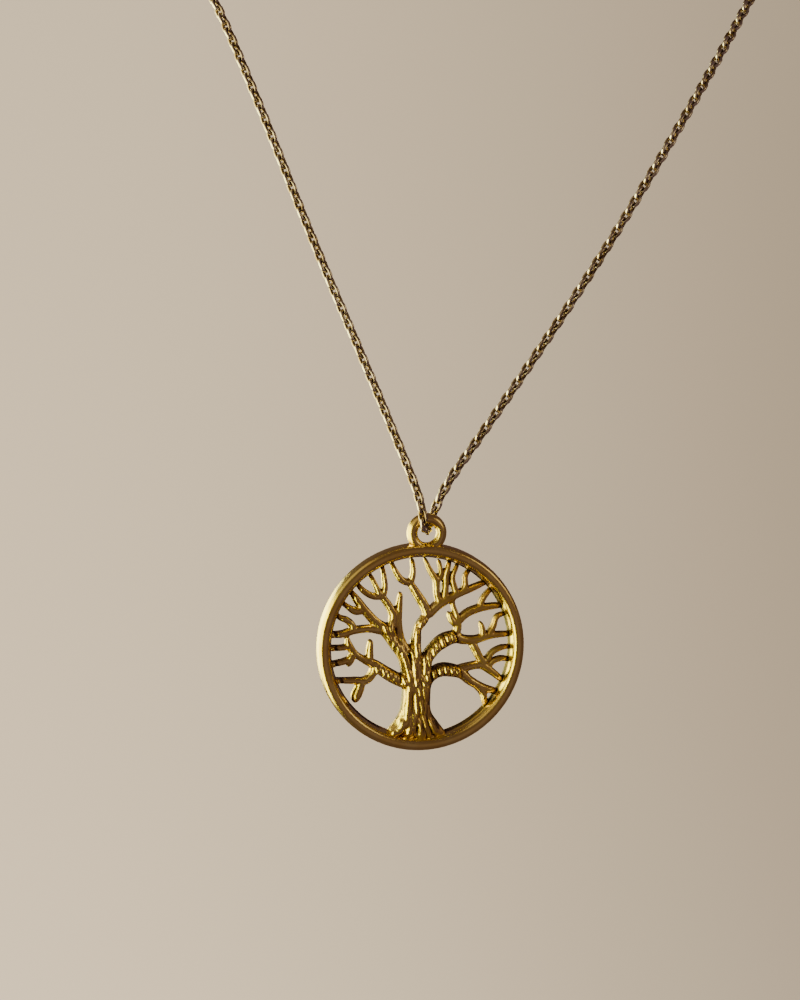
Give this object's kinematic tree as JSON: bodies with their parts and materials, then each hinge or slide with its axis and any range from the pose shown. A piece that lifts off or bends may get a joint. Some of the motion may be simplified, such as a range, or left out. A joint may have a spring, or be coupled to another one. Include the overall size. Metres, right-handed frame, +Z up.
{
  "type": "pendant necklace",
  "caption": "Fine cable chain necklace, closed at the nape by a plain clasp, with a round openwork tree charm hung by its cast eye.",
  "frame": {"origin": "the lowest point of the clasp's barrel, where it rests on the nape of the neck", "axes": "+X to the viewer's right, the wearer's left; +Y from the charm towards the back of the neck; +Z up"},
  "size_m": [0.1089, 0.1056, 0.1588],
  "materials": {
    "antique_gold": "antiqued cast gold tone, dark in the recesses and polished on the crests",
    "chain_gold": "pale gold tone, bright drawn wire",
    "clasp_gold": "pale gold tone, polished"
  },
  "bodies": {
    "necklace": {"chain_left": "chain_gold", "chain_right": "chain_gold", "clasp": "clasp_gold"},
    "charm": {"pendant": "antique_gold"}
  },
  "joints": [
    {"name": "pendant_swing", "type": "hinge", "parent": "necklace", "child": "charm", "pos_m": [-0.00055, -0.102, -0.12955], "axis": [0, 1, 0], "range_deg": [-45, 45]}
  ]
}
